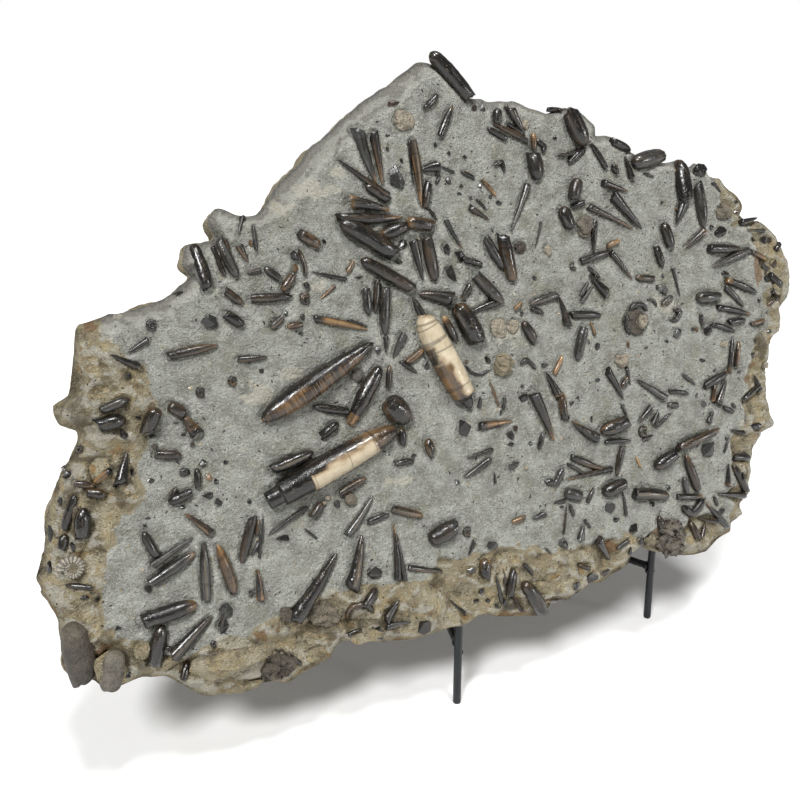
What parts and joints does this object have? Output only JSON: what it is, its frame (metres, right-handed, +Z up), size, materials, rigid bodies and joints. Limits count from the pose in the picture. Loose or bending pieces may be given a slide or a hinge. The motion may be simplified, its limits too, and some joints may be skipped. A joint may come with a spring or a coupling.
{
  "type": "belemnite fossil slab",
  "caption": "Upright slab of blue-grey marl crowded with belemnite rostra, with a weathered ochre rim, leaning on a stand of bent black round bar",
  "frame": {"origin": "centre of the bottom of the bounding box, on the floor under the stand's feet", "axes": "+X runs along the slab to the right, seen from the front; the dressed face looks toward -Y and leans back 14 degrees; +Z is up"},
  "size_m": [0.7892, 0.266, 0.5977],
  "materials": {
    "matrix_stone": "matt, chiselled",
    "dark_rostrum": "glossy calcite",
    "pale_rostrum": "glossy calcite",
    "stand_paint": "satin black"
  },
  "bodies": {
    "root": {"matrix_slab": "matrix_stone", "pale_rostrum_left": "pale_rostrum", "pale_rostrum_right": "pale_rostrum", "banded_brown_rostrum": "dark_rostrum", "crest_rostrum": "dark_rostrum", "black_bullet_rostrum": "dark_rostrum", "long_dark_rostrum": "dark_rostrum", "crossing_rostrum": "dark_rostrum", "lower_spear_rostrum": "dark_rostrum", "opened_rostrum": "dark_rostrum", "amber_tipped_rostrum": "dark_rostrum", "blunt_grey_rostrum": "dark_rostrum", "left_grey_rostrum": "dark_rostrum", "left_red_tipped_rostrum": "dark_rostrum", "left_ribbed_rostrum": "dark_rostrum", "left_upright_rostrum": "dark_rostrum", "amber_rostrum": "dark_rostrum", "left_brown_rostrum": "dark_rostrum", "rim_bullet_rostrum": "dark_rostrum", "wedge_rostrum": "dark_rostrum", "flat_topped_rostrum": "dark_rostrum", "amber_butt_rostrum": "dark_rostrum", "round_dark_rostrum": "dark_rostrum", "split_rostrum": "dark_rostrum", "brown_curved_rostrum": "dark_rostrum", "glossy_brown_rostrum": "dark_rostrum", "slender_amber_rostrum": "dark_rostrum", "blue_grey_rostrum": "dark_rostrum", "round_nosed_rostrum": "dark_rostrum", "centre_right_rostrum": "dark_rostrum", "lined_rostrum": "dark_rostrum", "right_amber_rostrum": "dark_rostrum", "right_wedge_rostrum": "dark_rostrum", "leaf_shaped_rostrum": "dark_rostrum", "steep_black_rostrum": "dark_rostrum", "barrel_rostrum": "dark_rostrum", "top_brown_rostrum": "dark_rostrum", "right_slanted_rostrum": "dark_rostrum", "grey_upright_rostrum": "dark_rostrum", "far_right_rostrum": "dark_rostrum", "pink_edged_rostrum": "dark_rostrum", "forked_tip_rostrum": "dark_rostrum", "tall_thin_rostrum": "dark_rostrum", "stand_left_front_leg": "stand_paint", "stand_left_arm": "stand_paint", "stand_left_back_post": "stand_paint", "stand_left_rear_strut": "stand_paint", "stand_right_front_leg": "stand_paint", "stand_right_arm": "stand_paint", "stand_right_back_post": "stand_paint", "stand_right_rear_strut": "stand_paint", "stand_lower_crossbar": "stand_paint", "stand_upper_crossbar": "stand_paint"}
  },
  "joints": []
}
